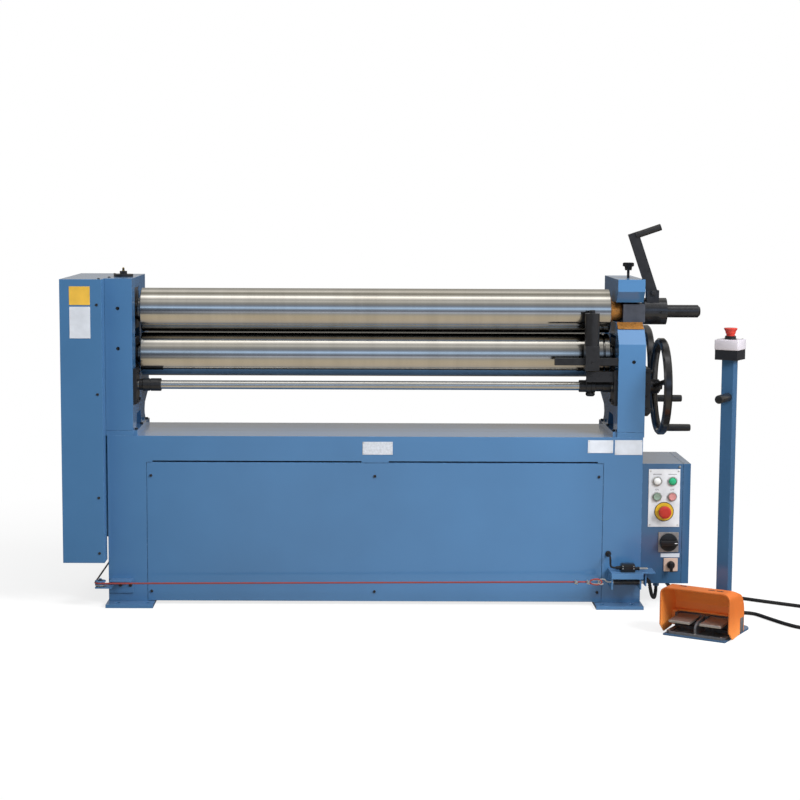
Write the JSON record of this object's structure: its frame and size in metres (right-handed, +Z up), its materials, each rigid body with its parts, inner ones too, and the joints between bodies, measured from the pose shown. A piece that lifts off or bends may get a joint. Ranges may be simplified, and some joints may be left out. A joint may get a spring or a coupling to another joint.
{
  "type": "plate rolling machine",
  "caption": "Motorised plate rolling machine: three rolls between cast stands on a blue cabinet, with drive cover, handwheels, rope stop, control box and foot-control station.",
  "frame": {"origin": "centre of the outer anchor-bolt pattern of the machine's foot plates, on the floor", "axes": "+X along the rolls towards the handwheels, +Y from the feeding side to the back, +Z up"},
  "size_m": [2.2964, 0.9745, 1.1331],
  "materials": {
    "blue_paint": "gloss steel-blue paint, faintly orange-peeled",
    "roll_steel": "ground roll steel with fine lathe lines round the axis",
    "shaft_steel": "bright drawn shaft steel",
    "black_oxide": "blackened steel, satin",
    "black_wheel": "black enamel on cast wheel, semi-gloss",
    "black_plastic": "black moulded plastic",
    "zinc": "zinc-plated fittings",
    "panel_white": "pale grey printed control plate",
    "grey_metal": "grey die-cast pedals and tray",
    "guard_orange": "orange moulded guard",
    "signal_red": "red plastic stop heads",
    "button_green": "grey-green push-button cap",
    "button_pink": "pale red push-button cap",
    "rope_red": "red plastic-sheathed steel rope",
    "box_grey": "light grey lid on black base",
    "cable_black": "black rubber cable"
  },
  "bodies": {
    "frame": {"base_cabinet": "blue_paint", "access_panel": "blue_paint", "foot_plates": "blue_paint", "left_stand": "blue_paint", "right_stand": "blue_paint", "drive_cover": "blue_paint", "swivel_cap": "black_oxide", "upper_bearings": "black_oxide", "end_sleeve": "black_oxide", "adjusters": "black_oxide", "stop_rail": "black_oxide", "control_box": "blue_paint", "control_panel": "panel_white", "switch_plates": "zinc", "rope_bracket": "blue_paint", "limit_switch": "black_plastic", "switch_cables": "cable_black", "rope_pulleys": "zinc", "safety_rope": "rope_red", "rope_spring": "black_oxide", "station_base": "blue_paint", "pedal_tray": "grey_metal", "pedal_guard": "guard_orange", "stop_box": "box_grey", "station_grip": "black_plastic", "pedal_cable": "cable_black"},
    "upper_roll": {"upper_roll": "roll_steel"},
    "lower_carrier": {"lower_bearings": "black_oxide"},
    "lower_roll": {"lower_roll": "roll_steel"},
    "rear_carrier": {"rear_bearings": "black_oxide"},
    "rear_roll": {"rear_roll": "roll_steel"},
    "front_wheel": {"front_handwheel": "black_wheel", "cross_shaft": "shaft_steel"},
    "front_grip": {"front_grip": "black_plastic"},
    "rear_wheel": {"rear_handwheel": "black_wheel", "rear_shaft": "shaft_steel"},
    "rear_grip": {"rear_grip": "black_plastic"},
    "cone_stop": {"cone_stop": "black_oxide"},
    "release_lever": {"release_lever": "black_oxide"},
    "star_knob": {"star_knob": "black_plastic"},
    "on_button": {"on_button": "button_green"},
    "off_button": {"off_button": "button_pink"},
    "emergency_stop": {"emergency_stop": "signal_red"},
    "isolator": {"isolator_knob": "black_plastic"},
    "selector": {"selector_knob": "black_plastic"},
    "left_pedal": {"left_pedal": "grey_metal"},
    "right_pedal": {"right_pedal": "grey_metal"},
    "station_button": {"station_button": "signal_red"}
  },
  "joints": [
    {"name": "upper_roll_spin", "type": "hinge", "parent": "frame", "child": "upper_roll", "pos_m": [0, -0.0346, 0.872], "axis": [1, 0, 0], "continuous": true},
    {"name": "lower_roll_lift", "type": "slide", "parent": "frame", "child": "lower_carrier", "axis": [0, 0, 1], "range_m": [-0.01, 0.0025]},
    {"name": "lower_roll_spin", "type": "hinge", "parent": "lower_carrier", "child": "lower_roll", "pos_m": [0, -0.0346, 0.739], "axis": [1, 0, 0], "continuous": true},
    {"name": "rear_roll_lift", "type": "slide", "parent": "frame", "child": "rear_carrier", "axis": [0, -0.342, 0.9397], "range_m": [-0.008, 0.095]},
    {"name": "rear_roll_spin", "type": "hinge", "parent": "rear_carrier", "child": "rear_roll", "pos_m": [0, 0.1284, 0.732], "axis": [1, 0, 0], "continuous": true},
    {"name": "front_wheel_turn", "type": "hinge", "parent": "frame", "child": "front_wheel", "pos_m": [0.829, -0.1, 0.652], "axis": [1, 0, 0], "range_deg": [-900, 225]},
    {"name": "front_grip_spin", "type": "hinge", "parent": "front_wheel", "child": "front_grip", "pos_m": [0.8628, -0.06068, 0.52338], "axis": [1, 0, 0], "continuous": true},
    {"name": "rear_wheel_turn", "type": "hinge", "parent": "frame", "child": "rear_wheel", "pos_m": [0.829, 0.2054, 0.67], "axis": [1, 0, 0], "range_deg": [-288, 3420]},
    {"name": "rear_grip_spin", "type": "hinge", "parent": "rear_wheel", "child": "rear_grip", "pos_m": [0.8628, 0.09389, 0.59479], "axis": [1, 0, 0], "continuous": true},
    {"name": "cone_stop_slide", "type": "slide", "parent": "frame", "child": "cone_stop", "axis": [1, 0, 0], "range_m": [-0.085, 0.045]},
    {"name": "release_lever_turn", "type": "hinge", "parent": "frame", "child": "release_lever", "pos_m": [0.828, -0.0486, 0.928], "axis": [0, 1, 0], "range_deg": [0, 95]},
    {"name": "star_knob_turn", "type": "hinge", "parent": "frame", "child": "star_knob", "pos_m": [0.762, -0.0006, 0.95], "axis": [0, 0, 1], "range_deg": [-360, 360]},
    {"name": "on_press", "type": "slide", "parent": "frame", "child": "on_button", "axis": [0, 1, 0], "range_m": [0, 0.004], "stiffness_N_per_m": 600},
    {"name": "off_press", "type": "slide", "parent": "frame", "child": "off_button", "axis": [0, 1, 0], "range_m": [0, 0.004], "stiffness_N_per_m": 600},
    {"name": "emergency_stop_press", "type": "slide", "parent": "frame", "child": "emergency_stop", "axis": [0, 1, 0], "range_m": [0, 0.005], "stiffness_N_per_m": 1500},
    {"name": "isolator_turn", "type": "hinge", "parent": "frame", "child": "isolator", "pos_m": [0.873, -0.17, 0.193], "axis": [0, 1, 0], "range_deg": [-90, 0]},
    {"name": "selector_turn", "type": "hinge", "parent": "frame", "child": "selector", "pos_m": [0.881, -0.17, 0.125], "axis": [0, 1, 0], "range_deg": [-45, 45]},
    {"name": "left_pedal_press", "type": "hinge", "parent": "frame", "child": "left_pedal", "pos_m": [0.85767, -0.45899, 0.04386], "axis": [0.8526, -0.5225, 0], "range_deg": [0, 8], "stiffness_Nm_per_rad": 8, "springref_deg": -5.73},
    {"name": "right_pedal_press", "type": "hinge", "parent": "frame", "child": "right_pedal", "pos_m": [0.93441, -0.50601, 0.04386], "axis": [0.8526, -0.5225, 0], "range_deg": [0, 8], "stiffness_Nm_per_rad": 8, "springref_deg": -5.73},
    {"name": "station_stop_press", "type": "slide", "parent": "frame", "child": "station_button", "axis": [0, 0, -1], "range_m": [0, 0.005], "stiffness_N_per_m": 1500, "springref_m": -0.001}
  ],
  "couplings": [
    {"joint": "lower_roll_spin", "follows": "upper_roll_spin", "ratio": -1},
    {"joint": "lower_roll_lift", "follows": "front_wheel_turn", "m_per_rad": 0.00063662},
    {"joint": "rear_roll_lift", "follows": "rear_wheel_turn", "m_per_rad": 0.0015915}
  ]
}
